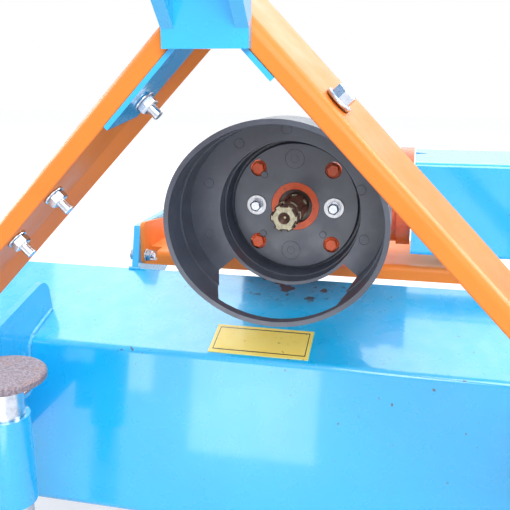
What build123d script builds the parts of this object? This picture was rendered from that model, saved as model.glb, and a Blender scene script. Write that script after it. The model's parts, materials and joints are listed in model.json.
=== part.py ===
from build123d import *
import os
from math import atan2, cos, degrees, radians, sin, sqrt, tan

# Three-point headstock of a tractor-mounted mulcher, with its drive gearbox and shaft guard.
# Millimetres. The origin is the centre of the lower bolt rectangle on the beam's rear face,
# where the rotor housing is fastened. +X is to the right seen from the tractor's seat side,
# -Y points to the tractor and +Z is up.

# Driving dimensions of the whole headstock
ridge_z = 176.0
tray_rise = 25.0  # bed of the bridge above the ridge
shaft_over_tray = 94.0
hub_reach = 60.0  # nose of the input cap ahead of the beam's rear face
beam_width = 940.0
frame_depth = 450.0  # front face of the legs ahead of the beam's rear face
hitch_spread = 700.0  # between the shoulders of the two lower link pins
overrun = 5.0  # how far a cutter runs past what it cuts
fit_gap = 0.05  # radial running clearance of a shaft
seat_gap = 0.3  # clearance between curved neighbours

# Folded deck sheet
deck_thick = 6.0
deck_bend_radius = 10.0
deck_bend_y = -172.0
deck_bend_z = 120.0
deck_foot_y = -204.0
deck_foot_z = -105.0
deck_lip = 40.0

# Back plate and end plates
back_thick = 10.0
end_thick = 8.0
bolt_rows_z = 75.0  # rows of holes above and below the origin
bolt_margin = 70.0  # outer holes in from the beam's ends
bolt_hole_radius = 8.5

# Carrier plates behind the ridge
carrier_x = 257.0
carrier_thick = 10.0
carrier_rear_y = 180.0
carrier_left_top_z = 239.0
carrier_right_top_z = 226.0
carrier_slot_z = 90.0
carrier_rib_depth = 120.0
carrier_lean = 16.0
carrier_rear_foot_z = 168.0

# Bridge tray that carries the gearbox
tray_thick = 6.0
tray_front_y = 15.0
tray_rear_inset = 8.0
tray_lip = 21.0
tray_cheek_drop = 23.0  # foot of the end cheeks below the bed
tray_cheek_tall = 44.0  # the left cheek's front above the bed
tray_cheek_low = 24.0
tray_cheek_corner = 9.0
tray_bend = 9.0
tray_strip = 5.0  # of the lip, left below the notches
tray_notch = 19.0  # cut from the bed's front corners to reach the cheeks' bolts
tray_notch_depth = 28.0
cheek_bolt_y = 21.0
cheek_bolt_drop = 9.0
cheek_bolt_hole = 5.5

# Gearbox
cross_y = 52.0  # cross shaft behind the beam's rear face
barrel_radius = 72.0
barrel_left_x = -85.0
barrel_right_x = 110.0
cap_square = 120.0
cap_corner = 16.0
cap_thick = 14.0
nose_stand = 4.0  # the nose ahead of the cap's flange, where the guard sits
cap_bolt_spacing = 99.0
cap_bolt_hole = 5.5
neck_radius = 60.0
foot_half_x = 88.0
foot_half_y = 62.0
foot_height = 14.0
pedestal_half_x = 66.0
pedestal_half_y = 46.0
nose_radius = 31.8
nose_bore = 22.9
side_cap_thick = 16.0
side_cap_radius = 70.0
side_cap_chamfer = 4.0
output_radius = 65.0
output_rim_radius = 69.0
output_thick = 40.0
output_rim = 19.0
plug_radius = 9.0
plug_height = 16.0

# Input shaft, 1 3/8 inch with six splines
spline_outer = 17.45
spline_root = 14.9
spline_share = 0.5  # width of a groove against the root radius
spline_turn = 30.0
journal_radius = 17.5
journal_stand = 6.0
spline_length = 73.0
spline_count = 6
input_rear_y = 2.0
shaft_chamfer = 1.5
centre_drill = 7.5
centre_depth = 6.0
centre_angle = 45.0
lock_groove_set = 18.0  # its middle behind the tip
lock_groove_half = 4.0
lock_groove_radius = 14.7
seal_set = 8.0
seal_thick = 10.0

# Cross shaft and its outboard bearing
cross_radius = 20.0
cross_left_x = -60.0
cross_end_radius = 17.5
cross_step = 36.0  # shoulder of the pulley seat beyond the beam's end
cross_tip = 78.0
key_width = 10.0
key_depth = 4.0
key_length = 34.0
key_angle = 126.0  # from the rear, upwards
bearing_thick = 14.0
bearing_boss_radius = 38.0
bearing_boss_depth = 34.0
bearing_chamfer = 3.0
bearing_corner = 22.0
bearing_bolt_spacing = 81.0
bearing_edge = 13.5  # flange beyond the bolt holes' centres

# Shaft cover
cover_left_x = 152.0
cover_front_y = -20.0
cover_rear_y = 142.0
cover_above = 58.0  # top of the cover above the shafts
cover_below = 68.0
cover_thick = 3.0
cover_lip = 12.0
cover_hole = 34.0
cover_slit = 18.0  # a wedge cut from the left end of its top
cover_slit_width = 20.0
cover_slit_y = 72.0
tower_margin = 8.0
tower_foot_z = 150.0  # rear foot of the tower

# Guard of the input shaft
disc_radius = 84.5
disc_thick = 4.0
cup_radius = 90.5
cup_depth = 45.0
cup_step = 1.5
cup_step_depth = 24.0  # of the wider mouth
groove_width = 3.0
guard_wall = 4.0
tube_half_x = 132.0
tube_half_z = 121.0
tube_centre_x = -4.0
tube_depth = 127.0
hoop_depth = 13.0
rim_lip = 2.0
liner_depth = 83.0  # a thicker wall runs forward to here
liner_thick = 2.0
disc_chamfer = 2.0
bolt_window = 11.0
guard_bolt_half = 51.75
guard_bolt_hole = 5.5
opening_half_angle = 49.5
opening_sink = 34.0  # how far the opening's apex drops on its way to the hoop
quarter_turn = 90.0

# A-frame legs, a folded channel open to the rear, its outer wall splayed
apex_z = 517.8  # where the inner walls meet
leg_foot_z = 172.5  # where they meet the foot tabs
leg_web = 17.0
leg_depth = 73.0
leg_crease = 48.0  # the inner wall turns inwards this far behind the front
leg_flare = 7.0
leg_splay = 9.5
leg_thick = 4.0
leg_outer_bend = 9.0
leg_inner_bend = 2.0

# Lower link plates and pins
link_thick = 10.0
link_pin_set = 13.0  # pins behind the legs' front face
link_pin_z = 140.0
link_nose = 40.0
link_rear_y = -106.0
link_rear_lean = 8.0
link_rear_z = 190.0
link_dip_set = 104.0
link_dip_z = 134.0
link_corner = 20.0
pin_radius = 11.0
pin_length = 48.0
pin_shoulder = 12.5  # its shank inside the link plate
pin_collar = 19.0
pin_collar_thick = 8.0
clip_hole = 5.0
foot_tab_thick = 10.0
foot_tab_set = 25.0  # its middle behind the legs' front face
foot_tab_half_y = 32.0
foot_tab_top_z = 238.0
foot_tab_low_z = 162.0
foot_bolt_spacing = 44.0
foot_bolt_hole = 6.5

# Top bracket, bored for the top link's pin
bracket_thick = 8.0
wing_thick = 4.0
wing_left_run = 124.0
wing_right_run = 72.0
wing_slant = 11.0  # shorter at its rear edge
ear_gap = 46.0
ear_thick = 10.0
ear_reach = 64.0
ear_top_z = 640.0
ear_foot_z = 500.0
web_foot_z = 486.0
top_pin_z = 600.0
top_pin_reach = 36.0
top_pin_bore = 9.7

# Parking stand, stowed foot up
stand_inset = 55.0  # from the left link plate
stand_set = 128.0  # behind the legs' front face
stand_top_z = 144.0
stand_foot_radius = 49.0
stand_foot_thick = 8.0
stand_foot_chamfer = 2.0
stand_tube_radius = 22.0
stand_wall = 3.5
stand_length = 290.0
sleeve_radius = 27.0
sleeve_top_z = 92.0
sleeve_length = 110.0
sleeve_arm_height = 70.0
sleeve_arm_thick = 12.0
stand_pin_radius = 6.0
stand_pin_length = 92.0

# Plain plate on the slope
plate_width = 129.0
plate_height = 55.0
plate_thick = 1.5
plate_centre_x = -27.5
plate_rise = 35.0  # its middle above the bend, along the slope

# Places worked out from the sizes above
tray_top_z = ridge_z + tray_rise
shaft_z = tray_top_z + shaft_over_tray
hub_y = -hub_reach
front_y = -frame_depth
cap_seat_y = hub_y + nose_stand
seal_front_y = hub_y + seal_set
journal_front_y = hub_y - journal_stand
spline_tip_y = journal_front_y - spline_length
lock_groove_y = spline_tip_y + lock_groove_set
tray_rear_y = carrier_rear_y - tray_rear_inset
cover_top_z = shaft_z + cover_above
cover_foot_z = shaft_z - cover_below
tower_top_z = cover_top_z + tower_margin
link_pin_y = front_y + link_pin_set
link_dip_y = front_y + link_dip_set
foot_tab_y = front_y + foot_tab_set
stand_y = front_y + stand_set
top_pin_y = front_y - bracket_thick - top_pin_reach
slope = (ridge_z - deck_bend_z) / -deck_bend_y
slope_angle = degrees(atan2(ridge_z - deck_bend_z, -deck_bend_y))
under_drop = deck_thick / cos(radians(slope_angle))
half_beam = beam_width / 2
half_sheet = half_beam - end_thick
bolt_columns_x = ((half_beam - bolt_margin) / 2, half_beam - bolt_margin)
cross_step_x = half_beam + cross_step
cross_tip_x = half_beam + cross_tip
bearing_square = bearing_bolt_spacing + 2 * bearing_edge
link_x = hitch_spread / 2
link_inner_x = link_x - link_thick
tab_x = link_inner_x - foot_tab_thick
stand_x = stand_inset - link_inner_x
lean = atan2(tab_x, apex_z - leg_foot_z)
sides = (("left", -1), ("right", 1))
disc_front_y = cap_seat_y - disc_thick
plate_ring_y = hub_y - cup_depth
tube_front_y = hub_y - tube_depth
housing_front_y = cap_seat_y + cap_thick

os.makedirs("parts", exist_ok=True)


def deck_height(y):
    """Height of the deck's upper surface at a place between the ridge and the bend."""
    return ridge_z + slope * y


def under_height(y):
    """Height of the deck's lower surface on the slope."""
    return deck_height(y) - under_drop


def front_reach(z):
    """Place of the front face at a height between the bend and the foot."""
    fall = (deck_bend_z - z) / (deck_bend_z - deck_foot_z)
    return deck_bend_y + fall * (deck_foot_y - deck_bend_y)


def save(piece, label):
    """Name a finished piece and write it to its file."""
    piece.label = label
    export_step(piece, "parts/" + label + ".step")


# Deck sheet: ridge, slope, bend, front face and a lip turned in at the foot
with BuildPart() as deck_sheet:
    with BuildSketch(Plane.YZ):
        with BuildLine():
            fold = FilletPolyline(
                (0, ridge_z),
                (deck_bend_y, deck_bend_z),
                (deck_foot_y, deck_foot_z),
                (deck_foot_y + deck_lip, deck_foot_z),
                radius=deck_bend_radius,
            )
            offset(fold, amount=deck_thick, side=Side.LEFT)
        make_face()
    extrude(amount=half_sheet, both=True)
    split(bisect_by=Plane.XZ, keep=Keep.TOP)
save(deck_sheet.part, "deck_sheet")

# Back plate, with the carriers' slots and the bolt holes of the rotor housing
with BuildPart() as back_plate:
    with BuildSketch(Plane.YZ):
        with BuildLine():
            Polyline(
                (-back_thick, deck_foot_z),
                (0, deck_foot_z),
                (0, under_height(0)),
                (-back_thick, under_height(-back_thick)),
                close=True,
            )
        make_face()
    extrude(amount=half_sheet, both=True)
    with BuildSketch(Plane.XZ):
        for column_x in bolt_columns_x:
            with GridLocations(2 * column_x, 2 * bolt_rows_z, 2, 2):
                Circle(bolt_hole_radius)
    extrude(amount=back_thick, mode=Mode.SUBTRACT)
    with BuildSketch(Plane.XZ):
        for _, side in sides:
            with Locations((side * carrier_x, (carrier_slot_z + ridge_z) / 2)):
                Rectangle(carrier_thick, ridge_z - carrier_slot_z)
    extrude(amount=back_thick, mode=Mode.SUBTRACT)
save(back_plate.part, "back_plate")


def end_outline(raised):
    """Draw an end plate's outline: the beam's section, with or without the bearing tower."""
    if raised:
        return [
            (0, 0),
            (cover_rear_y + deck_thick, tower_foot_z),
            (cover_rear_y + deck_thick, tower_top_z),
            (cover_front_y - deck_thick, tower_top_z),
            (cover_front_y - deck_thick, deck_height(cover_front_y - deck_thick)),
        ]
    return [(0, ridge_z)]


# End plates; the right one rises behind the ridge and carries the outboard bearing
for side_name, side in sides:
    with BuildPart() as end_plate:
        with BuildSketch(Plane.YZ.offset(side * half_sheet)):
            with BuildLine():
                Polyline(
                    (deck_bend_y, deck_bend_z),
                    (deck_foot_y, deck_foot_z),
                    (0, deck_foot_z),
                    *end_outline(side > 0),
                    close=True,
                )
            make_face()
        extrude(amount=side * end_thick)
        if side > 0:
            with BuildSketch(Plane.YZ.offset(half_sheet)):
                with Locations((cross_y, shaft_z)):
                    Circle(cross_radius + overrun)
                    with GridLocations(bearing_bolt_spacing, bearing_bolt_spacing, 2, 2):
                        Circle(cap_bolt_hole)
            extrude(amount=end_thick, mode=Mode.SUBTRACT)
    save(end_plate.part, "end_plate_" + side_name)

# Carrier plates: a rib under the deck, and an arm that runs back through the slot
for side_name, side in sides:
    top_z = carrier_left_top_z if side < 0 else carrier_right_top_z
    lean_y = carrier_lean * (top_z - ridge_z) / (carrier_left_top_z - ridge_z)
    with BuildPart() as carrier:
        with BuildSketch(Plane.YZ.offset(side * carrier_x)) as carrier_section:
            with BuildLine():
                Polyline(
                    (-carrier_rib_depth, under_height(-carrier_rib_depth)),
                    (0, under_height(0)),
                    (0, ridge_z),
                    (lean_y, top_z),
                    (carrier_rear_y, top_z),
                    (carrier_rear_y, carrier_rear_foot_z),
                    (0, carrier_slot_z),
                    (-back_thick, carrier_slot_z),
                    (-carrier_rib_depth / 2, carrier_slot_z),
                    close=True,
                )
            make_face()
        extrude(amount=carrier_thick / 2, both=True)
    save(carrier.part, "carrier_" + side_name)

# Bridge tray: a bed with its front lip turned down, between two upright cheeks
tray_half = carrier_x - carrier_thick / 2
with BuildPart() as bridge_tray:
    with BuildSketch(Plane.XY.offset(tray_top_z)):
        with Locations((0, (tray_front_y + tray_rear_y) / 2)):
            Rectangle(2 * tray_half, tray_rear_y - tray_front_y)
        for _, side in sides:
            with Locations((side * tray_half, tray_front_y)):
                Rectangle(2 * (tray_notch + tray_thick), 2 * tray_notch_depth, mode=Mode.SUBTRACT)
    extrude(amount=-tray_thick)
    with BuildSketch(Plane.XZ.offset(-tray_front_y)):
        with Locations((0, tray_top_z - tray_lip / 2)):
            Rectangle(2 * (tray_half - tray_notch - tray_thick), tray_lip)
        with Locations((0, tray_top_z - tray_lip + tray_strip / 2)):
            Rectangle(2 * (tray_half - tray_thick), tray_strip)
    extrude(amount=-tray_thick)
    front_edges = bridge_tray.edges().filter_by(Axis.X).group_by(Axis.Y)[0]
    fillet(front_edges.sort_by(Axis.Z)[-1], tray_bend)
    for (_, side), cheek_rise in zip(sides, (tray_cheek_tall, tray_cheek_low)):
        with BuildSketch(Plane.YZ.offset(side * (tray_half - tray_thick))):
            with BuildLine():
                FilletPolyline(
                    (tray_front_y, tray_top_z - tray_cheek_drop),
                    (tray_front_y, tray_top_z + cheek_rise),
                    (tray_rear_y, tray_top_z + tray_cheek_low),
                    (tray_rear_y, tray_top_z - tray_cheek_drop),
                    radius=tray_cheek_corner,
                    close=True,
                )
            make_face()
            with Locations((cheek_bolt_y, tray_top_z - cheek_bolt_drop)):
                Circle(cheek_bolt_hole, mode=Mode.SUBTRACT)
        extrude(amount=side * tray_thick)
save(bridge_tray.part, "bridge_tray")

# Gearbox housing: barrel on the cross axis, neck to the input side, pedestal and foot
with BuildPart() as gearbox_housing:
    with BuildSketch(Plane.YZ.offset(barrel_left_x)):
        with Locations((cross_y, shaft_z)):
            Circle(barrel_radius)
    extrude(amount=barrel_right_x - barrel_left_x)
    with BuildSketch(Plane.XZ.offset(-housing_front_y)):
        with Locations((0, shaft_z)):
            Circle(neck_radius)
    extrude(amount=-(cross_y - housing_front_y))
    with BuildSketch(Plane.XZ.offset(-housing_front_y)):
        with Locations((0, shaft_z)):
            RectangleRounded(cap_square, cap_square, cap_corner)
    extrude(amount=-cap_thick)
    with BuildSketch(Plane.XY.offset(tray_top_z)):
        with Locations((0, cross_y)):
            RectangleRounded(2 * foot_half_x, 2 * foot_half_y, cap_corner)
    extrude(amount=foot_height)
    with BuildSketch(Plane.XY.offset(tray_top_z + foot_height)):
        with Locations((0, cross_y)):
            RectangleRounded(2 * pedestal_half_x, 2 * pedestal_half_y, cap_corner)
    extrude(amount=shaft_z - tray_top_z - foot_height)
    with BuildSketch(Plane.XZ.offset(-housing_front_y)):
        with Locations((0, shaft_z)):
            Circle(journal_radius + fit_gap)
    extrude(amount=-(input_rear_y + seat_gap - housing_front_y), mode=Mode.SUBTRACT)
    with BuildSketch(Plane.YZ.offset(cross_left_x - seat_gap)):
        with Locations((cross_y, shaft_z)):
            Circle(cross_radius + fit_gap)
    extrude(amount=barrel_right_x - cross_left_x + overrun, mode=Mode.SUBTRACT)
save(gearbox_housing.part, "gearbox_housing")

# Input cap: square flange with the bolt holes, and the nose ring
with BuildPart() as input_cap:
    with BuildSketch(Plane.XZ.offset(-cap_seat_y)):
        with Locations((0, shaft_z)):
            RectangleRounded(cap_square, cap_square, cap_corner)
    extrude(amount=-cap_thick)
    with BuildSketch(Plane.XZ.offset(-cap_seat_y)):
        with Locations((0, shaft_z)):
            Circle(nose_radius)
    extrude(amount=cap_seat_y - hub_y)
    with BuildSketch(Plane.XZ.offset(-hub_y)):
        with Locations((0, shaft_z)):
            Circle(nose_bore)
    extrude(amount=-(seal_front_y + seal_thick - hub_y), mode=Mode.SUBTRACT)
    with BuildSketch(Plane.XZ.offset(-hub_y)):
        with Locations((0, shaft_z)):
            Circle(journal_radius + fit_gap)
    extrude(amount=-(housing_front_y - hub_y), mode=Mode.SUBTRACT)
save(input_cap.part, "input_cap")

# Shaft seal in the nose
with BuildPart() as input_seal:
    with BuildSketch(Plane.XZ.offset(-seal_front_y)):
        with Locations((0, shaft_z)):
            Circle(nose_bore)
            Circle(journal_radius + fit_gap, mode=Mode.SUBTRACT)
    extrude(amount=-seal_thick)
save(input_seal.part, "input_seal")

# Side cap on the closed side of the barrel
with BuildPart() as side_cap:
    with BuildSketch(Plane.YZ.offset(barrel_left_x)):
        with Locations((cross_y, shaft_z)):
            Circle(side_cap_radius)
    extrude(amount=-side_cap_thick)
    chamfer(side_cap.edges().group_by(Axis.X)[0], side_cap_chamfer)
save(side_cap.part, "side_cap")

# Output flange on the driven side
with BuildPart() as output_flange:
    with BuildSketch(Plane.YZ.offset(barrel_right_x)):
        with Locations((cross_y, shaft_z)):
            Circle(output_radius)
    extrude(amount=output_thick - output_rim)
    with BuildSketch(Plane.YZ.offset(barrel_right_x + output_thick - output_rim)):
        with Locations((cross_y, shaft_z)):
            Circle(output_rim_radius)
    extrude(amount=output_rim)
    with BuildSketch(Plane.YZ.offset(barrel_right_x)):
        with Locations((cross_y, shaft_z)):
            Circle(cross_radius + fit_gap)
    extrude(amount=output_thick, mode=Mode.SUBTRACT)
save(output_flange.part, "output_flange")

# Filler plug on top of the barrel
with BuildPart() as filler_plug:
    with BuildSketch(Plane.XY.offset(shaft_z + barrel_radius)):
        with Locations((0, cross_y)):
            RegularPolygon(plug_radius, 6)
    extrude(amount=plug_height)
save(filler_plug.part, "filler_plug")

# Input shaft: journal, six splines, locking groove and centre drill
with BuildPart() as input_shaft:
    with BuildSketch(Plane.XZ.offset(-journal_front_y)):
        with Locations((0, shaft_z)):
            Circle(journal_radius)
    extrude(amount=-(input_rear_y - journal_front_y))
    with BuildSketch(Plane.XZ.offset(-journal_front_y)):
        with Locations((0, shaft_z)):
            Circle(spline_root)
    extrude(amount=journal_front_y - spline_tip_y)
    with BuildSketch(Plane.XZ.offset(-journal_front_y)):
        with Locations((0, shaft_z)):
            Circle(spline_outer)
            with PolarLocations(spline_outer, spline_count, start_angle=spline_turn):
                Rectangle(2 * (spline_outer - spline_root), spline_root * spline_share,
                          mode=Mode.SUBTRACT)
    extrude(amount=journal_front_y - spline_tip_y)
    chamfer(input_shaft.faces().sort_by(Axis.Y)[0].edges(), shaft_chamfer)
    with BuildSketch(Plane.XZ.offset(-(lock_groove_y - lock_groove_half))):
        with Locations((0, shaft_z)):
            Circle(spline_outer + overrun)
            Circle(lock_groove_radius, mode=Mode.SUBTRACT)
    extrude(amount=-2 * lock_groove_half, mode=Mode.SUBTRACT)
    with BuildSketch(Plane.XZ.offset(-spline_tip_y)):
        with Locations((0, shaft_z)):
            Circle(centre_drill)
    extrude(amount=-centre_depth, taper=centre_angle, mode=Mode.SUBTRACT)
save(input_shaft.part, "input_shaft")

# Cross shaft with its stepped, keyed end
with BuildPart() as cross_shaft:
    with BuildSketch(Plane.YZ.offset(cross_left_x)):
        with Locations((cross_y, shaft_z)):
            Circle(cross_radius)
    extrude(amount=cross_step_x - cross_left_x)
    with BuildSketch(Plane.YZ.offset(cross_step_x)):
        with Locations((cross_y, shaft_z)):
            Circle(cross_end_radius)
    extrude(amount=cross_tip_x - cross_step_x)
    chamfer(cross_shaft.edges().group_by(Axis.X)[-1], shaft_chamfer)
    with BuildSketch(Plane.YZ.offset(cross_tip_x - key_length)):
        with Locations((cross_y, shaft_z)):
            with PolarLocations(cross_end_radius, 1, start_angle=key_angle):
                Rectangle(2 * key_depth, key_width)
    extrude(amount=key_length, mode=Mode.SUBTRACT)
save(cross_shaft.part, "cross_shaft")

# Flanged bearing outside the right end plate
with BuildPart() as end_bearing:
    with BuildSketch(Plane.YZ.offset(half_beam)):
        with Locations((cross_y, shaft_z)):
            RectangleRounded(bearing_square, bearing_square, bearing_corner)
    extrude(amount=bearing_thick)
    with BuildSketch(Plane.YZ.offset(half_beam)):
        with Locations((cross_y, shaft_z)):
            Circle(bearing_boss_radius)
    extrude(amount=bearing_boss_depth)
    chamfer(end_bearing.edges().group_by(Axis.X)[-1], bearing_chamfer)
    with BuildSketch(Plane.YZ.offset(half_beam)):
        with Locations((cross_y, shaft_z)):
            Circle(cross_radius + fit_gap)
            with GridLocations(bearing_bolt_spacing, bearing_bolt_spacing, 2, 2):
                Circle(cap_bolt_hole)
    extrude(amount=bearing_boss_depth, mode=Mode.SUBTRACT)
save(end_bearing.part, "end_bearing")

# Shaft cover: a folded box, open below, with lips turned in at its foot
with BuildPart() as shaft_cover:
    with BuildSketch(Plane.YZ.offset(cover_left_x)):
        with BuildLine():
            shell = FilletPolyline(
                (cover_front_y + cover_lip, cover_foot_z),
                (cover_front_y, cover_foot_z),
                (cover_front_y, cover_top_z),
                (cover_rear_y, cover_top_z),
                (cover_rear_y, cover_foot_z),
                (cover_rear_y - cover_lip, cover_foot_z),
                radius=2 * cover_thick,
            )
            offset(shell, amount=cover_thick, side=Side.RIGHT)
        make_face()
    extrude(amount=half_sheet - cover_left_x)
    with BuildSketch(Plane.YZ.offset(cover_left_x)):
        with Locations(((cover_front_y + cover_rear_y) / 2, (cover_top_z + cover_foot_z) / 2)):
            Rectangle(cover_rear_y - cover_front_y - 2 * cover_thick,
                      cover_top_z - cover_foot_z - 2 * cover_thick)
        with Locations((cross_y, shaft_z)):
            Circle(cover_hole, mode=Mode.SUBTRACT)
    extrude(amount=cover_thick)
    with BuildSketch(Plane.XY.offset(cover_top_z)):
        with BuildLine():
            Polyline(
                (cover_left_x, cover_slit_y),
                (cover_left_x + cover_slit, cover_slit_y + cover_slit_width / 2),
                (cover_left_x, cover_slit_y + cover_slit_width),
                close=True,
            )
        make_face()
    extrude(amount=-cover_thick, mode=Mode.SUBTRACT)
save(shaft_cover.part, "shaft_cover")


def oval(growth, mode=Mode.ADD):
    """Draw the tube's oval, grown or shrunk: four arcs that run into each other."""
    half_x = tube_half_x + growth
    half_z = tube_half_z + growth
    shift = (half_x - half_z) / (2 - sqrt(2))
    with BuildLine() as outline:
        for turn, centre_x, centre_z, radius in (
            (0, shift, 0, half_x - shift),
            (1, 0, -shift, half_z + shift),
            (2, -shift, 0, half_x - shift),
            (3, 0, shift, half_z + shift),
        ):
            CenterArc(
                (tube_centre_x + centre_x, shaft_z + centre_z),
                radius,
                turn * quarter_turn - quarter_turn / 2,
                quarter_turn,
            )
    make_face(outline.edges(), mode=mode)


# Shaft guard: disc and cup turned in one profile, a flat ring, an oval tube and a front hoop
liner_front_y = hub_y - liner_depth
with BuildPart() as guard:
    with BuildSketch(Plane.XZ.offset(-(plate_ring_y + guard_wall))):
        oval(0)
        with Locations((0, shaft_z)):
            Circle(cup_radius + guard_wall / 2, mode=Mode.SUBTRACT)
    extrude(amount=guard_wall)
    with BuildSketch(Plane.XZ.offset(-plate_ring_y)):
        oval(0)
        oval(-guard_wall, Mode.SUBTRACT)
    extrude(amount=tube_depth - cup_depth)
    with BuildSketch(Plane.XZ.offset(-plate_ring_y)):
        oval(-guard_wall)
        oval(-guard_wall - liner_thick, Mode.SUBTRACT)
    extrude(amount=plate_ring_y - liner_front_y)
    opening_low_z = shaft_z - tube_half_z - overrun
    for opening_y, apex_drop in (
        (plate_ring_y + guard_wall, 0),
        (tube_front_y + hoop_depth, opening_sink),
    ):
        half_width = (shaft_z - apex_drop - opening_low_z) * tan(radians(opening_half_angle))
        with BuildSketch(Plane.XZ.offset(-opening_y)):
            with BuildLine():
                Polyline(
                    (0, shaft_z - apex_drop),
                    (-half_width, opening_low_z),
                    (half_width, opening_low_z),
                    close=True,
                )
            make_face()
    loft(mode=Mode.SUBTRACT)
    with BuildSketch(Plane.XZ.offset(-tube_front_y)):
        oval(rim_lip)
        oval(-guard_wall, Mode.SUBTRACT)
    extrude(amount=-guard_wall)
    with BuildSketch(Plane.YZ):
        with BuildLine():
            Polyline(
                (disc_front_y, shaft_z + nose_radius + seat_gap),
                (disc_front_y, shaft_z + disc_radius - disc_chamfer),
                (disc_front_y + disc_chamfer, shaft_z + disc_radius),
                (cap_seat_y + disc_thick, shaft_z + disc_radius),
                (cap_seat_y + disc_thick, shaft_z + disc_radius + groove_width),
                (plate_ring_y + cup_step_depth, shaft_z + cup_radius - cup_step),
                (plate_ring_y + cup_step_depth, shaft_z + cup_radius),
                (plate_ring_y, shaft_z + cup_radius),
                (plate_ring_y, shaft_z + cup_radius + guard_wall),
                (cap_seat_y + 2 * disc_thick, shaft_z + disc_radius + groove_width + guard_wall),
                (cap_seat_y + 2 * disc_thick, shaft_z + disc_radius - guard_wall),
                (cap_seat_y, shaft_z + disc_radius - guard_wall),
                (cap_seat_y, shaft_z + nose_radius + seat_gap),
                close=True,
            )
        make_face()
    revolve(axis=Axis((0, 0, shaft_z), (0, 1, 0)))
    with BuildSketch(Plane.XZ.offset(-cap_seat_y)):
        with Locations((0, shaft_z)):
            with GridLocations(cap_bolt_spacing, cap_bolt_spacing, 2, 2):
                Circle(bolt_window)
            with GridLocations(2 * guard_bolt_half, 0, 2, 1):
                Circle(guard_bolt_hole)
    extrude(amount=disc_thick, mode=Mode.SUBTRACT)
save(guard.part, "guard")

# A-frame legs: a folded channel from the apex down to a vertical foot tab
leg_front = frame_depth
leg_rear = frame_depth - leg_depth
with BuildPart() as leg_right:
    with BuildSketch(
        Plane(
            origin=(0, 0, apex_z),
            x_dir=(cos(lean), 0, sin(lean)),
            z_dir=(sin(lean), 0, -cos(lean)),
        )
    ) as leg_section:
        with BuildLine():
            Polyline(
                (-leg_flare, leg_rear),
                (0, leg_front - leg_crease),
                (0, leg_front),
                (leg_web, leg_front),
                (leg_web + leg_splay, leg_rear),
                (leg_web + leg_splay - leg_thick, leg_rear),
                (leg_web - leg_thick, leg_front - leg_thick),
                (leg_thick, leg_front - leg_thick),
                (leg_thick, leg_front - leg_crease),
                (leg_thick - leg_flare, leg_rear),
                close=True,
            )
        make_face()
        inside_corners = leg_section.vertices().group_by(Axis.Y)[-2].sort_by(Axis.X)
        fillet(inside_corners[-1], leg_outer_bend - leg_thick)
        fillet(leg_section.vertices().group_by(Axis.Y)[-1].sort_by(Axis.X)[-1], leg_outer_bend)
        fillet(leg_section.vertices().group_by(Axis.Y)[-1].sort_by(Axis.X)[0], leg_inner_bend)
    extrude(amount=tab_x / sin(lean) + leg_depth)
    extrude(leg_section.sketch, amount=-leg_depth)
    split(bisect_by=Plane.YZ, keep=Keep.TOP)
    split(bisect_by=Plane.YZ.offset(tab_x), keep=Keep.BOTTOM)
    with BuildSketch(Plane.YZ.offset(tab_x)):
        with Locations((foot_tab_y, (foot_tab_top_z + foot_tab_low_z) / 2)):
            RectangleRounded(2 * foot_tab_half_y, foot_tab_top_z - foot_tab_low_z, leg_outer_bend)
            with GridLocations(0, foot_bolt_spacing, 1, 2):
                Circle(foot_bolt_hole, mode=Mode.SUBTRACT)
    extrude(amount=foot_tab_thick)
with BuildPart() as leg_left:
    add(mirror(leg_right.part, about=Plane.YZ))
save(leg_right.part, "leg_right")
save(leg_left.part, "leg_left")

# Lower link plates, welded to the deck's slope and front, and their link pins
for side_name, side in sides:
    with BuildPart() as link_plate:
        with BuildSketch(Plane.YZ.offset(side * link_inner_x)):
            with BuildLine():
                free_edge = FilletPolyline(
                    (link_rear_y, deck_height(link_rear_y)),
                    (link_rear_y - link_rear_lean, link_rear_z),
                    (link_dip_y, link_dip_z),
                    (link_pin_y + link_nose + link_thick, foot_tab_top_z + link_thick),
                    (link_pin_y - link_nose, foot_tab_top_z + link_thick),
                    (link_pin_y - link_nose, link_pin_z - link_nose),
                    (front_reach(0), 0),
                    radius=link_corner,
                )
                Polyline(free_edge @ 1, (deck_bend_y, deck_bend_z), free_edge @ 0)
            make_face()
            with Locations((link_pin_y, link_pin_z)):
                Circle(pin_shoulder + fit_gap, mode=Mode.SUBTRACT)
            with Locations((foot_tab_y, (foot_tab_top_z + foot_tab_low_z) / 2)):
                with GridLocations(0, foot_bolt_spacing, 1, 2):
                    Circle(foot_bolt_hole, mode=Mode.SUBTRACT)
        extrude(amount=side * link_thick)
    save(link_plate.part, "link_plate_" + side_name)

    with BuildPart() as link_pin:
        with BuildSketch(Plane.YZ.offset(side * (link_inner_x - pin_collar_thick))):
            with Locations((link_pin_y, link_pin_z)):
                Circle(pin_collar)
        extrude(amount=side * pin_collar_thick)
        with BuildSketch(Plane.YZ.offset(side * link_inner_x)):
            with Locations((link_pin_y, link_pin_z)):
                Circle(pin_shoulder)
        extrude(amount=side * link_thick)
        with BuildSketch(Plane.YZ.offset(side * link_x)):
            with Locations((link_pin_y, link_pin_z)):
                Circle(pin_radius)
        extrude(amount=side * pin_length)
        tip_edges = link_pin.edges().sort_by(Axis.X)
        chamfer(tip_edges[-1] if side > 0 else tip_edges[0], shaft_chamfer)
        with BuildSketch(Plane.XZ.offset(-link_pin_y)):
            with Locations((side * (link_x + pin_length - pin_radius), link_pin_z)):
                Circle(clip_hole)
        extrude(amount=pin_collar, both=True, mode=Mode.SUBTRACT)
    save(link_pin.part, "link_pin_" + side_name)

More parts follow.
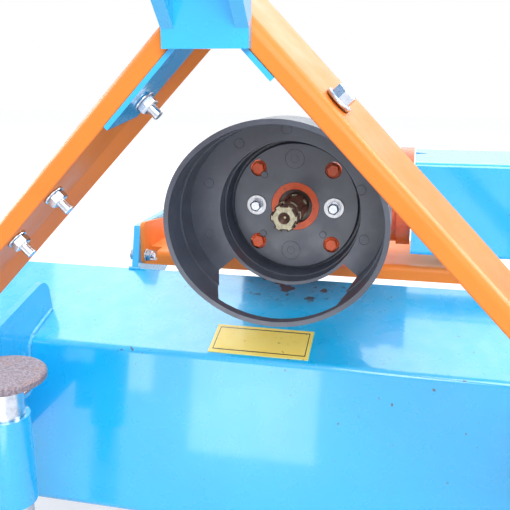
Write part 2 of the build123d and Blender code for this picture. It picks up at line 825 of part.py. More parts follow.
# Top bracket: a wing under each leg's inner wall, a web on their front and two bored ears
ear_outer = ear_gap / 2 + ear_thick
web_front_y = front_y - bracket_thick
wing_rear_y = front_y + leg_crease - leg_thick - seat_gap
wing_start = wing_thick / tan(lean) + seat_gap
with BuildPart() as top_bracket:
    for (_, side), run in zip(sides, (wing_left_run, wing_right_run)):
        with BuildSketch(
            Plane(
                origin=(0, 0, apex_z),
                x_dir=(side * sin(lean), 0, -cos(lean)),
                z_dir=(-side * cos(lean), 0, -sin(lean)),
            )
        ):
            with BuildLine():
                Polyline(
                    (wing_start, -side * front_y),
                    (run, -side * front_y),
                    (run - wing_slant, -side * wing_rear_y),
                    (wing_start, -side * wing_rear_y),
                    close=True,
                )
            make_face()
        extrude(amount=wing_thick)
    with BuildSketch(Plane.XZ.offset(-front_y)):
        with Locations((0, (web_foot_z + ear_top_z) / 2)):
            Rectangle(2 * ear_outer, ear_top_z - web_foot_z)
    extrude(amount=bracket_thick)
    for _, side in sides:
        with BuildSketch(Plane.YZ.offset(side * ear_gap / 2)):
            with BuildLine():
                Polyline(
                    (web_front_y, ear_top_z),
                    (web_front_y - ear_reach, ear_top_z),
                    (web_front_y - ear_reach, top_pin_z - top_pin_reach),
                    (web_front_y, ear_foot_z),
                    close=True,
                )
            make_face()
            with Locations((top_pin_y, top_pin_z)):
                Circle(top_pin_bore, mode=Mode.SUBTRACT)
        extrude(amount=side * ear_thick)
save(top_bracket.part, "top_bracket")

# Parking stand: sleeve on an arm, and a tube with its foot turned up for travel
with BuildPart() as stand_sleeve:
    with BuildSketch(Plane.XY.offset(sleeve_top_z)):
        with Locations((stand_x, stand_y)):
            Circle(sleeve_radius)
    extrude(amount=-sleeve_length)
    with BuildSketch(Plane.XY.offset(sleeve_top_z - (sleeve_length - sleeve_arm_height) / 2)):
        with Locations(((stand_x - link_inner_x) / 2, stand_y)):
            Rectangle(link_inner_x + stand_x, sleeve_arm_thick)
    extrude(amount=-sleeve_arm_height)
    with BuildSketch(Plane.XY.offset(sleeve_top_z)):
        with Locations((stand_x, stand_y)):
            Circle(stand_tube_radius + seat_gap)
    extrude(amount=-sleeve_length, mode=Mode.SUBTRACT)
save(stand_sleeve.part, "stand_sleeve")

stand_pin_z = sleeve_top_z + stand_pin_radius + seat_gap
with BuildPart() as stand_tube:
    with BuildSketch(Plane.XY.offset(stand_top_z - stand_foot_thick)):
        with Locations((stand_x, stand_y)):
            Circle(stand_tube_radius)
            Circle(stand_tube_radius - stand_wall, mode=Mode.SUBTRACT)
    extrude(amount=-stand_length)
    with BuildSketch(Plane.XZ.offset(-stand_y)):
        with Locations((stand_x, stand_pin_z)):
            Circle(stand_pin_radius + fit_gap)
    extrude(amount=stand_pin_length, both=True, mode=Mode.SUBTRACT)
save(stand_tube.part, "stand_tube")

with BuildPart() as stand_foot:
    with BuildSketch(Plane.XY.offset(stand_top_z)):
        with Locations((stand_x, stand_y)):
            Circle(stand_foot_radius)
    extrude(amount=-stand_foot_thick)
    chamfer(stand_foot.edges().group_by(Axis.Z)[-1], stand_foot_chamfer)
save(stand_foot.part, "stand_foot")

with BuildPart() as stand_pin:
    with BuildSketch(Plane.XZ.offset(-stand_y)):
        with Locations((stand_x, stand_pin_z)):
            Circle(stand_pin_radius)
    extrude(amount=stand_pin_length / 2, both=True)
save(stand_pin.part, "stand_pin")

# Plain plate on the deck's slope
slope_rad = radians(slope_angle)
with BuildPart() as slope_plate:
    with BuildSketch(
        Plane(
            origin=(
                plate_centre_x,
                deck_bend_y + plate_rise * cos(slope_rad),
                deck_bend_z + plate_rise * sin(slope_rad),
            ),
            x_dir=(1, 0, 0),
            z_dir=(0, -sin(slope_rad), cos(slope_rad)),
        )
    ):
        Rectangle(plate_width, plate_height)
    extrude(amount=plate_thick)
save(slope_plate.part, "slope_plate")
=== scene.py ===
import json
from math import atan2, cos, pi, sin

import bmesh
import bpy
from mathutils import Matrix, Vector, noise


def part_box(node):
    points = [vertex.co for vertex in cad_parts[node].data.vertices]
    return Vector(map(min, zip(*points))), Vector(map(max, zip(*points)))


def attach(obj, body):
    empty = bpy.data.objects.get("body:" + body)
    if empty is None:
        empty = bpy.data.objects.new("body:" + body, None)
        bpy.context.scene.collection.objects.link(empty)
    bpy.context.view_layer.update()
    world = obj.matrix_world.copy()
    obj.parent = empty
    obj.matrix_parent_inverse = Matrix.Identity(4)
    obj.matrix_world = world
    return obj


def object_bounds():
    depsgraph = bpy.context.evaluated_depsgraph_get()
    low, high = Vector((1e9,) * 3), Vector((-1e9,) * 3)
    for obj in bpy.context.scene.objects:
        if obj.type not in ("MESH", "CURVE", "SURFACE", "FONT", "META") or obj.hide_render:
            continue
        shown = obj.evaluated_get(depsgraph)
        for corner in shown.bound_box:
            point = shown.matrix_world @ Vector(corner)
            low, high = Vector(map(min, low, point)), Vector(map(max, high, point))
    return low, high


# Looks of a three-point headstock with its drive gearbox and shaft guard.
# Metres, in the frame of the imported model: -Y points to the tractor and +Z is up.

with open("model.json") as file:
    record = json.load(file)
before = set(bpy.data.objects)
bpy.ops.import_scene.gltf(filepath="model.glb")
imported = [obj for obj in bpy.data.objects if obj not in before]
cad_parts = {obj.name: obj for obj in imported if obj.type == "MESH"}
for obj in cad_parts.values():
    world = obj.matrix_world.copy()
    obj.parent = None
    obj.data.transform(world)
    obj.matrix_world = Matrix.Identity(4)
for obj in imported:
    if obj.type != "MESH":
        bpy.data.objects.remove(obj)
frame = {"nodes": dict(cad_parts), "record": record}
nodes = frame["nodes"]
cad_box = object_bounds()
MM = 0.001
FRAME_BODY = "headstock"
TO_TRACTOR = (0, -1, 0)


def corners(node):
    """Lowest and highest corner of a CAD node."""
    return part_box(node)


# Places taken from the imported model
shaft_low, shaft_high = corners("input_shaft")
cross_low, cross_high = corners("cross_shaft")
SHAFT_Z = (shaft_low.z + shaft_high.z) / 2
CROSS_Y = (cross_low.y + cross_high.y) / 2
HUB_Y = corners("input_cap")[0].y
TRAY_END_X = corners("bridge_tray")[1].x
SIDE_CAP_X = corners("side_cap")[0].x
BEARING_X = corners("end_bearing")[0].x
RIDGE_Z = corners("deck_sheet")[1].z

# Places on the pieces, as the part's source has them
CAP_FLANGE_Y = HUB_Y + 4 * MM
TRAY_BED_Z = SHAFT_Z - 94.0 * MM
# The deck slopes down from its ridge at y = 0 to the bend above its front face
BEND_Y = -172.0 * MM
BEND_Z = 120.0 * MM
# The legs' inner walls meet at the apex, over x = 0, and reach furthest out at their feet
APEX_Z = 517.8 * MM
LEG_FOOT_X = 330.0 * MM
LEG_FOOT_Z = 172.5 * MM
LEAN = atan2(LEG_FOOT_X, APEX_Z - LEG_FOOT_Z)
LEG_OUTER_WALL = 20.3 * MM
LEG_THICK = 4.0 * MM


def feed(tree, value, socket):
    """Link a socket of another node, or set a plain value."""
    if hasattr(value, "links"):
        tree.links.new(value, socket)
    else:
        socket.default_value = value


def material(name):
    """A new node material, its tree cleared to one principled shader."""
    made = bpy.data.materials.new(name)
    made.use_nodes = True
    tree = made.node_tree
    tree.nodes.clear()
    out = tree.nodes.new("ShaderNodeOutputMaterial")
    shader = tree.nodes.new("ShaderNodeBsdfPrincipled")
    tree.links.new(shader.outputs["BSDF"], out.inputs["Surface"])
    return made, tree, shader


def place(tree):
    """Object coordinates, which are the row frame for every piece here."""
    return tree.nodes.new("ShaderNodeTexCoord").outputs["Object"]


def split_axes(tree, vector):
    """The X, Y and Z of a vector, as sockets."""
    split = tree.nodes.new("ShaderNodeSeparateXYZ")
    tree.links.new(vector, split.inputs["Vector"])
    return split.outputs


def normal(tree):
    """The surface's normal in the world's axes."""
    return tree.nodes.new("ShaderNodeNewGeometry").outputs["Normal"]


def noise_at(tree, scale, detail=3.0, roughness=0.55, stretch=None):
    """A noise factor over the object coordinates."""
    tex = tree.nodes.new("ShaderNodeTexNoise")
    tex.inputs["Scale"].default_value = scale
    tex.inputs["Detail"].default_value = detail
    tex.inputs["Roughness"].default_value = roughness
    source = place(tree)
    if stretch:
        mapping = tree.nodes.new("ShaderNodeMapping")
        mapping.inputs["Scale"].default_value = stretch
        tree.links.new(source, mapping.inputs["Vector"])
        source = mapping.outputs["Vector"]
    tree.links.new(source, tex.inputs["Vector"])
    return tex.outputs["Fac"]


def ramp(tree, fac, low, high, start=0.0, end=1.0):
    """A factor stretched from the band low..high to start..end."""
    node = tree.nodes.new("ShaderNodeMapRange")
    node.inputs["From Min"].default_value = low
    node.inputs["From Max"].default_value = high
    node.inputs["To Min"].default_value = start
    node.inputs["To Max"].default_value = end
    tree.links.new(fac, node.inputs["Value"])
    return node.outputs["Result"]


def mix(tree, fac, first, second):
    """Blend two colours, each a tuple or a socket, by a factor."""
    node = tree.nodes.new("ShaderNodeMix")
    node.data_type = "RGBA"
    tree.links.new(fac, node.inputs["Factor"])
    for value, key in ((first, "A"), (second, "B")):
        socket = [s for s in node.inputs if s.name == key and s.type == "RGBA"][0]
        colour = value if hasattr(value, "links") else (*value, 1.0)
        feed(tree, colour, socket)
    return [s for s in node.outputs if s.type == "RGBA"][0]


def math_node(tree, operation, first, second):
    """One math operation on two factors."""
    node = tree.nodes.new("ShaderNodeMath")
    node.operation = operation
    feed(tree, first, node.inputs[0])
    feed(tree, second, node.inputs[1])
    return node.outputs["Value"]


def distance_from(tree, socket, middle):
    """How far a value is from a middle, on either side."""
    return math_node(tree, "ABSOLUTE", math_node(tree, "SUBTRACT", socket, middle), 0)


def bump(tree, shader, fac, strength, distance):
    """Roughen a surface by a factor."""
    node = tree.nodes.new("ShaderNodeBump")
    node.inputs["Strength"].default_value = strength
    node.inputs["Distance"].default_value = distance
    tree.links.new(fac, node.inputs["Height"])
    tree.links.new(node.outputs["Normal"], shader.inputs["Normal"])


def uneven_gloss(tree, shader, scale, detail, low, high):
    """Roughness that wanders between two values."""
    rougher = ramp(tree, noise_at(tree, scale, detail), 0.3, 0.8, low, high)
    tree.links.new(rougher, shader.inputs["Roughness"])


# Colours of dirt and wear
SPATTER = (0.07, 0.10, 0.14)
DRIED_GREASE = (0.05, 0.12, 0.18)
CHIPPED = (0.16, 0.12, 0.10)
CASTING_GRIME = (0.12, 0.03, 0.02)
PALE_SCUFF = (0.14, 0.15, 0.17)
THIN_RUST = (0.34, 0.17, 0.13)
PLATE_DIRT = (0.12, 0.09, 0.05)
PLATE_BORDER = (0.05, 0.045, 0.035)
# Dried grease on the ridge under the guard: axis, middle and reach
GREASE_PATCH = (("X", 0.0, 0.085), ("Y", -0.024, 0.032), ("Z", 0.165, 0.020))


def near_shaft(tree):
    """Where grease flung off the shaft has dried, fading over the outer part of its reach."""
    axes = split_axes(tree, place(tree))
    spread = None
    for axis, middle, reach in GREASE_PATCH:
        close_by = ramp(tree, distance_from(tree, axes[axis], middle), reach, reach * 0.6)
        spread = close_by if spread is None else math_node(tree, "MULTIPLY", spread, close_by)
    return spread


def glossy_paint(
    name, colour, dark, dust, spots=0.0, coat=0.6, rough=0.28, coat_rough=0.08, gloss=0.5
):
    """Sprayed paint: slightly uneven, with chips, thin dust where it faces up, and spatter."""
    made, tree, shader = material(name)
    cloud = ramp(tree, noise_at(tree, 9.0, 4.0), 0.35, 0.7)
    body = mix(tree, math_node(tree, "MULTIPLY", cloud, 0.35), colour, dark)
    up = ramp(tree, split_axes(tree, normal(tree))["Z"], 0.3, 0.95)
    film = math_node(tree, "MULTIPLY", up, ramp(tree, noise_at(tree, 35.0, 5.0), 0.4, 0.8))
    body = mix(tree, math_node(tree, "MULTIPLY", film, 0.22), body, dust)
    if spots:
        spatter = ramp(tree, noise_at(tree, 130.0, 2.0, 0.4), 0.74 - spots, 0.77 - spots)
        patch = ramp(tree, noise_at(tree, 7.0, 2.0), 0.5, 0.62)
        body = mix(tree, math_node(tree, "MULTIPLY", spatter, patch), body, SPATTER)
        grease = near_shaft(tree)
        crumbs = ramp(tree, noise_at(tree, 55.0, 4.0), 0.56, 0.60)
        body = mix(tree, math_node(tree, "MULTIPLY", grease, crumbs), body, DRIED_GREASE)
    chips = ramp(tree, noise_at(tree, 240.0, 2.0, 0.5), 0.79, 0.81)
    tree.links.new(mix(tree, chips, body, CHIPPED), shader.inputs["Base Color"])
    uneven_gloss(tree, shader, 30.0, 4.0, rough * 0.75, rough * 1.5)
    shader.inputs["Coat Weight"].default_value = coat
    shader.inputs["Coat Roughness"].default_value = coat_rough
    shader.inputs["Coat IOR"].default_value = 1.6
    shader.inputs["Specular IOR Level"].default_value = gloss
    bump(tree, shader, noise_at(tree, 260.0, 2.0), 0.05, 0.0004)
    return made


def cast_paint(name, colour, dark):
    """Paint over a sand casting: grainy, with darker tone and grime in random patches."""
    made, tree, shader = material(name)
    cloud = ramp(tree, noise_at(tree, 28.0, 6.0, 0.65), 0.35, 0.7)
    body = mix(tree, cloud, colour, dark)
    grime = ramp(tree, noise_at(tree, 90.0, 4.0, 0.6), 0.62, 0.72)
    body = mix(tree, math_node(tree, "MULTIPLY", grime, 0.6), body, CASTING_GRIME)
    tree.links.new(body, shader.inputs["Base Color"])
    shader.inputs["Roughness"].default_value = 0.38
    shader.inputs["Coat Weight"].default_value = 0.25
    shader.inputs["Coat Roughness"].default_value = 0.2
    bump(tree, shader, noise_at(tree, 420.0, 4.0, 0.7), 0.45, 0.0012)
    return made


def metal(name, colour, dark, rough=0.3, grain=(1, 1, 1), scale=120.0, metallic=1.0):
    """Plated or turned metal with a fine grain."""
    made, tree, shader = material(name)
    cloud = ramp(tree, noise_at(tree, scale, 4.0, 0.6, grain), 0.3, 0.75)
    tree.links.new(mix(tree, cloud, colour, dark), shader.inputs["Base Color"])
    shader.inputs["Metallic"].default_value = metallic
    uneven_gloss(tree, shader, scale * 0.5, 3.0, rough * 0.7, rough * 1.5)
    bump(tree, shader, noise_at(tree, scale * 4.0, 2.0, 0.5, grain), 0.15, 0.0004)
    return made


def moulded_plastic(name, colour, pale):
    """Black moulded plastic with a bluish sheen and grey scuffs."""
    made, tree, shader = material(name)
    cloud = ramp(tree, noise_at(tree, 18.0, 5.0, 0.6), 0.35, 0.75)
    body = mix(tree, cloud, colour, pale)
    scuff = ramp(tree, noise_at(tree, 70.0, 6.0, 0.7, (1.0, 1.0, 2.5)), 0.60, 0.74)
    body = mix(tree, math_node(tree, "MULTIPLY", scuff, 0.35), body, PALE_SCUFF)
    tree.links.new(body, shader.inputs["Base Color"])
    uneven_gloss(tree, shader, 40.0, 4.0, 0.28, 0.52)
    shader.inputs["Specular IOR Level"].default_value = 0.9
    bump(tree, shader, noise_at(tree, 700.0, 3.0, 0.6), 0.2, 0.0004)
    return made


def greasy_spline(name, face, face_pits, flank, flank_worn):
    """Worn bright end face, towards the tractor, and brown greasy flanks."""
    made, tree, shader = material(name)
    facing = ramp(tree, split_axes(tree, normal(tree))["Y"], -0.80, -0.95)
    pits = ramp(tree, noise_at(tree, 260.0, 5.0, 0.7), 0.35, 0.7)
    end = mix(tree, pits, face, face_pits)
    grease = ramp(tree, noise_at(tree, 110.0, 5.0, 0.6), 0.35, 0.7)
    side = mix(tree, grease, flank, flank_worn)
    tree.links.new(mix(tree, facing, side, end), shader.inputs["Base Color"])
    shader.inputs["Metallic"].default_value = 0.55
    uneven_gloss(tree, shader, 90.0, 4.0, 0.28, 0.62)
    bump(tree, shader, noise_at(tree, 380.0, 5.0, 0.7), 0.5, 0.0008)
    return made


def scuffed(name, colour, pale):
    """Scuffed, granular steel with a mauve-grey bloom and thin rust."""
    made, tree, shader = material(name)
    grit = ramp(tree, noise_at(tree, 420.0, 6.0, 0.75), 0.38, 0.66)
    body = mix(tree, grit, colour, pale)
    rust = ramp(tree, noise_at(tree, 45.0, 5.0, 0.65), 0.52, 0.70)
    body = mix(tree, math_node(tree, "MULTIPLY", rust, 0.5), body, THIN_RUST)
    tree.links.new(body, shader.inputs["Base Color"])
    shader.inputs["Metallic"].default_value = 0.35
    shader.inputs["Roughness"].default_value = 0.55
    bump(tree, shader, noise_at(tree, 500.0, 6.0, 0.75), 0.6, 0.001)
    return made


def rubber(name, colour, oily):
    """Oily dark seal rubber."""
    made, tree, shader = material(name)
    oil = ramp(tree, noise_at(tree, 150.0, 4.0), 0.4, 0.7)
    tree.links.new(mix(tree, oil, colour, oily), shader.inputs["Base Color"])
    shader.inputs["Roughness"].default_value = 0.32
    bump(tree, shader, noise_at(tree, 500.0, 3.0), 0.3, 0.0004)
    return made


def bordered_plate(name, colour, dark):
    """Golden plate with a thin dark border, worked out from the piece's own extent."""
    made, tree, shader = material(name)
    generated = tree.nodes.new("ShaderNodeTexCoord").outputs["Generated"]
    axes = split_axes(tree, generated)
    inside = {}
    for edge_of, margins in (("outer", (0.034, 0.090)), ("inner", (0.043, 0.122))):
        for axis, margin in zip("XY", margins):
            off_centre = distance_from(tree, axes[axis], 0.5)
            within = math_node(tree, "LESS_THAN", off_centre, 0.5 - margin)
            inside[edge_of] = math_node(tree, "MULTIPLY", inside.get(edge_of, 1.0), within)
    border = math_node(tree, "SUBTRACT", inside["outer"], inside["inner"])
    cloud = ramp(tree, noise_at(tree, 40.0, 5.0, 0.6), 0.3, 0.75)
    gold = mix(tree, cloud, colour, dark)
    dirt = ramp(tree, noise_at(tree, 160.0, 3.0), 0.66, 0.72)
    gold = mix(tree, math_node(tree, "MULTIPLY", dirt, 0.7), gold, PLATE_DIRT)
    tree.links.new(mix(tree, border, gold, PLATE_BORDER), shader.inputs["Base Color"])
    shader.inputs["Roughness"].default_value = 0.34
    shader.inputs["Coat Weight"].default_value = 0.3
    bump(tree, shader, noise_at(tree, 300.0, 2.0), 0.1, 0.0004)
    return made


SLOT_MATERIALS = {
    "orange_paint": glossy_paint(
        "orange_paint", colour=(0.94, 0.27, 0.045), dark=(0.88, 0.20, 0.030),
        dust=(0.86, 0.55, 0.34), coat=0.20, rough=0.42, coat_rough=0.24, gloss=0.12,
    ),
    "blue_paint": glossy_paint(
        "blue_paint", colour=(0.008, 0.51, 0.95), dark=(0.005, 0.42, 0.92),
        dust=(0.33, 0.70, 0.90), spots=0.02, coat=1.0,
    ),
    "cast_orange": cast_paint(
        "cast_orange", colour=(0.95, 0.145, 0.028), dark=(0.74, 0.085, 0.016)
    ),
    "black_plastic": moulded_plastic(
        "black_plastic", colour=(0.046, 0.058, 0.088), pale=(0.086, 0.106, 0.152)
    ),
    "zinc": metal("zinc", colour=(0.66, 0.70, 0.76), dark=(0.40, 0.44, 0.52), rough=0.24),
    "bright_steel": metal(
        "bright_steel", colour=(0.58, 0.59, 0.61), dark=(0.36, 0.37, 0.40), rough=0.32,
        grain=(12.0, 1.0, 1.0), scale=60.0,
    ),
    "grey_iron": metal(
        "grey_iron", colour=(0.20, 0.21, 0.23), dark=(0.12, 0.125, 0.14), rough=0.5, metallic=0.4
    ),
    "worn_steel": greasy_spline(
        "worn_steel", face=(0.50, 0.47, 0.34), face_pits=(0.22, 0.20, 0.14),
        flank=(0.075, 0.038, 0.028), flank_worn=(0.24, 0.15, 0.12),
    ),
    "seal_rubber": rubber("seal_rubber", colour=(0.045, 0.026, 0.020), oily=(0.11, 0.060, 0.045)),
    "scuffed_steel": scuffed("scuffed_steel", colour=(0.14, 0.105, 0.130), pale=(0.40, 0.36, 0.43)),
    "yellow_plate": bordered_plate(
        "yellow_plate", colour=(1.0, 0.82, 0.22), dark=(0.97, 0.73, 0.14)
    ),
}
for row in frame["record"]["subparts"]:
    node = nodes[row["node"]]
    node.data.materials.clear()
    node.data.materials.append(SLOT_MATERIALS[row["material_slot"]])


def mm(*values):
    """Millimetres to metres, as a vector."""
    return Vector(values) * MM


def finish_piece(name, mesh, slot_name, body=FRAME_BODY):
    """Turn a bmesh into a named piece that has a slot's material and rides on a body."""
    data = bpy.data.meshes.new(name)
    mesh.to_mesh(data)
    mesh.free()
    data.materials.append(SLOT_MATERIALS[slot_name])
    piece = bpy.data.objects.new(name, data)
    bpy.context.scene.collection.objects.link(piece)
    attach(piece, body)


def axes_about(axis):
    """A unit axis, and two directions square to it and to each other."""
    axis = Vector(axis).normalized()
    across = axis.orthogonal().normalized()
    return axis, across, axis.cross(across)


def skin(mesh, rings, smooth=True, closed=False):
    """Faces between successive rings of vertices, with flat ends unless the rings close up."""
    count = len(rings[0])
    pairs = list(zip(rings, rings[1:])) + ([(rings[-1], rings[0])] if closed else [])
    for low, high in pairs:
        for k in range(count):
            after = (k + 1) % count
            mesh.faces.new((low[k], low[after], high[after], high[k])).smooth = smooth
    if not closed:
        mesh.faces.new(list(reversed(rings[0])))
        mesh.faces.new(rings[-1])


def turned(mesh, profile, centre, axis, segments=32, sides=None):
    """Add a solid of revolution, or one with so many flat sides.

    profile is (radius, distance along the axis) pairs.
    """
    axis, across, other = axes_about(axis)
    rings = []
    for radius, along in profile:
        ring = []
        for k in range(segments):
            angle = 2 * pi * k / segments
            reach = radius
            if sides:
                part = (angle % (2 * pi / sides)) - pi / sides
                reach = radius * cos(pi / sides) / cos(part)
            around = (across * cos(angle) + other * sin(angle)) * reach
            ring.append(mesh.verts.new(Vector(centre) + axis * along + around))
        rings.append(ring)
    skin(mesh, rings, smooth=sides is None)


def hex_bolt(mesh, seat, axis, across=16.0, head=6.6, washer=0.0, washer_thick=1.8, dish=True):
    """A hexagon head seated on a face, in millimetres: across its flats, its height, its washer's
    radius and thickness; dish raises a fine ring on the head."""
    radius = across / 2 * MM / cos(pi / 6)
    start = 0.0
    if washer:
        rim = washer * MM
        turned(mesh, [(rim, 0.0), (rim, washer_thick * 0.8 * MM), (rim * 0.97, washer_thick * MM)],
               seat, axis)
        start = washer_thick * MM
    top = start + head * MM
    turned(mesh, [(radius, start), (radius, top - 0.9 * MM), (radius * 0.93, top - 0.3 * MM),
                  (radius * 0.86, top)], seat, axis, segments=48, sides=6)
    if dish:
        turned(mesh, [(radius * 0.80, top), (radius * 0.72, top), (radius * 0.70, top + 0.35 * MM),
                      (radius * 0.66, top + 0.45 * MM)], seat, axis)


def nut_and_thread(mesh, seat, axis, across, thick, thread, reach, washer):
    """A washer, a nut and the bolt's threaded end standing on a face, in millimetres: across the
    nut's flats, its height, the thread's radius and reach past the nut, and the washer's radius."""
    turned(mesh, [(washer * MM, 0.0), (washer * MM, 1.6 * MM), (washer * 0.96 * MM, 2.0 * MM)],
           seat, axis)
    radius = across / 2 * MM / cos(pi / 6)
    low = 2.0 * MM
    top = low + thick * MM
    turned(mesh, [(radius * 0.90, low), (radius, low + 0.9 * MM), (radius, top - 0.9 * MM),
                  (radius * 0.90, top)], seat, axis, segments=48, sides=6)
    crest, root, pitch = thread * MM, (thread - 0.55) * MM, 1.5 * MM
    profile = []
    along = top - pitch
    while along < top + reach * MM:
        profile += [(root, along), (crest, along + pitch * 0.45)]
        along += pitch
    profile.append((root * 0.92, along))
    turned(mesh, profile, seat, axis)


def circle(make, centre, across, other, radius, count):
    """Vertices or vectors, as make gives them, round a centre in the plane of two directions."""
    turns = [2 * pi * k / count for k in range(count)]
    return [make(centre + (across * cos(a) + other * sin(a)) * radius) for a in turns]


def closed_bar(mesh, points, radius, sides):
    """A round bar bent through points into a closed ring."""
    rings = []
    count = len(points)
    for index, point in enumerate(points):
        run = (points[(index + 1) % count] - points[(index - 1) % count]).normalized()
        across = run.orthogonal().normalized()
        if abs(run.z) < 0.9:
            across = run.cross(Vector((0, 0, 1))).normalized()
        other = run.cross(across)
        rings.append(circle(mesh.verts.new, point, across, other, radius, sides))
    skin(mesh, rings, closed=True)


def weld(mesh, start, end, radius, seed):
    """A weld bead of a radius in millimetres: overlapping uneven ripples along a straight seam."""
    start, end = Vector(start), Vector(end)
    run = end - start
    ripple = radius * 0.75 * MM
    steps = max(6, int(run.length / ripple * 3))
    across, other = axes_about(run)[1:]
    rings = []
    for index in range(steps + 1):
        share = index / steps
        phase = share * run.length / ripple
        uneven = noise.noise(Vector((phase * 0.6, seed, 0.0)))
        swell = 0.80 + 0.20 * abs(sin(pi * phase)) + 0.16 * uneven
        if index in (0, steps):
            swell *= 0.35
        centre = start + run * share
        centre += across * 0.5 * MM * noise.noise(Vector((phase * 0.4, seed, 5.0)))
        rings.append(circle(mesh.verts.new, centre, across, other, radius * MM * swell, 10))
    skin(mesh, rings)


def ring_mark(mesh, centre, radius, wire=0.35):
    """A fine raised ring, as an ejector pin leaves on a moulding, facing the tractor."""
    across, other = axes_about((0, 1, 0))[1:]
    closed_bar(mesh, circle(Vector, centre, across, other, radius * MM, 40), wire * MM, 6)


# Orange flange bolts behind the guard's windows
cap_bolts = bmesh.new()
CAP_HALF = 49.5 * MM
for side_x in (-1, 1):
    for side_z in (-1, 1):
        seat = Vector((side_x * CAP_HALF, CAP_FLANGE_Y, SHAFT_Z + side_z * CAP_HALF))
        turned(cap_bolts, [(9.3 * MM, 0.0), (9.3 * MM, 1.2 * MM), (8.9 * MM, 1.6 * MM)],
               seat, TO_TRACTOR)
        hex_bolt(cap_bolts, seat + mm(0, -1.6, 0), TO_TRACTOR, across=14.6, head=7.8, dish=False)
finish_piece("cap_bolts", cap_bolts, "cast_orange")

# Zinc bolts that hold the guard, each on a wide washer
guard_bolts = bmesh.new()
guard_washers = bmesh.new()
GUARD_HALF = 51.75 * MM
GUARD_WASHER = 1.8
for side_x in (-1, 1):
    seat = Vector((side_x * GUARD_HALF, HUB_Y, SHAFT_Z))
    turned(guard_washers, [(13.5 * MM, 0.0), (13.5 * MM, 1.3 * MM), (13.0 * MM, GUARD_WASHER * MM)],
           seat, TO_TRACTOR)
    hex_bolt(guard_bolts, seat + mm(0, -GUARD_WASHER, 0), TO_TRACTOR, across=13.8, head=7.0,
             washer=8.8, washer_thick=1.2)
finish_piece("guard_bolts", guard_bolts, "zinc")
finish_piece("guard_washers", guard_washers, "bright_steel")

# Bolts through the left leg's inner wall, with their heads inside the channel: distance down the
# wall, place across it, lift off it and reach of thread; and a head on the right leg's outer wall
LEG_BOLTS = (
    (93.0, -426.0, 4.0, 8.5),
    (204.0, -436.0, 0.0, 9.5),
    (259.0, -436.0, 0.0, 9.5),
)
OUTER_BOLT = (115.0, -431.0)
leg_bolts = bmesh.new()


def on_leg(side, down, y):
    """A place on a leg's inner wall, in millimetres from the apex, and the way the wall faces."""
    along = Vector((side * sin(LEAN), 0.0, -cos(LEAN)))
    inward = Vector((-side * cos(LEAN), 0.0, -sin(LEAN)))
    return Vector((0.0, y * MM, APEX_Z)) + along * down * MM, inward


for down, y, lift, reach in LEG_BOLTS:
    wall, inward = on_leg(-1, down, y)
    nut_and_thread(leg_bolts, wall + inward * lift * MM, inward, across=14.5, thick=7.0, thread=4.6,
                   reach=reach, washer=9.6)
    hex_bolt(leg_bolts, wall - inward * LEG_THICK, -inward, across=14.5, head=5.5, washer=9.0)
wall, inward = on_leg(1, *OUTER_BOLT)
hex_bolt(leg_bolts, wall - inward * LEG_OUTER_WALL, -inward, across=16.0, head=8.0, washer=11.5,
         washer_thick=3.0)
finish_piece("leg_bolts", leg_bolts, "zinc")

# Bolts through the cheeks of the bridge and the carriers
CHEEK_WALL = 6.0 * MM
CARRIER_X = 262.0 * MM
CHEEK_BOLT = (21.0 * MM, TRAY_BED_Z - 9.0 * MM)
cheek_bolts = bmesh.new()
for side in (-1, 1):
    nut_and_thread(cheek_bolts, ((TRAY_END_X - CHEEK_WALL) * side, *CHEEK_BOLT), (-side, 0, 0),
                   across=16.0, thick=7.0, thread=4.8, reach=4.0, washer=10.0)
    hex_bolt(cheek_bolts, (side * CARRIER_X, *CHEEK_BOLT), (side, 0, 0), head=6.4, washer=10.0)
finish_piece("cheek_bolts", cheek_bolts, "zinc")

# Foot bolts of the gearbox, and the bolts of its closed end
FOOT_HALF = (77.0 * MM, 52.0 * MM)
FOOT_TOP_Z = TRAY_BED_Z + 14.0 * MM
SIDE_CAP_CIRCLE = 56.0 * MM
box_bolts = bmesh.new()
for side_x in (-1, 1):
    for side_y in (-1, 1):
        seat = (side_x * FOOT_HALF[0], CROSS_Y + side_y * FOOT_HALF[1], FOOT_TOP_Z)
        hex_bolt(box_bolts, seat, (0, 0, 1), across=17.0, head=7.5, washer=11.0)
for k in range(6):
    turn = 2 * pi * k / 6 + pi / 6
    out = Vector((0.0, cos(turn), sin(turn))) * SIDE_CAP_CIRCLE
    seat = Vector((SIDE_CAP_X, CROSS_Y, SHAFT_Z)) + out
    hex_bolt(box_bolts, seat, (-1, 0, 0), across=13.0, head=5.5)
finish_piece("gearbox_bolts", box_bolts, "cast_orange")

# Bolts of the outboard bearing through the end plate, and its grease nipple
BEARING_FLANGE = 14.0 * MM
END_PLATE = 8.0 * MM
BEARING_HALF = 40.5 * MM
bearing_bolts = bmesh.new()
for side_y in (-1, 1):
    for side_z in (-1, 1):
        place_yz = (CROSS_Y + side_y * BEARING_HALF, SHAFT_Z + side_z * BEARING_HALF)
        hex_bolt(bearing_bolts, (BEARING_X + BEARING_FLANGE, *place_yz), (1, 0, 0), head=6.4,
                 washer=10.0)
        nut_and_thread(bearing_bolts, (BEARING_X - END_PLATE, *place_yz), (-1, 0, 0), across=16.0,
                       thick=7.5, thread=4.8, reach=4.0, washer=10.0)
turned(bearing_bolts, [(3.6 * MM, 0.0), (3.6 * MM, 4.0 * MM), (2.2 * MM, 5.0 * MM),
                       (2.8 * MM, 7.5 * MM), (1.6 * MM, 9.0 * MM)],
       (BEARING_X + 24.0 * MM, CROSS_Y, SHAFT_Z + 37.6 * MM), (0, 0, 1), segments=16)
finish_piece("bearing_bolts", bearing_bolts, "zinc")

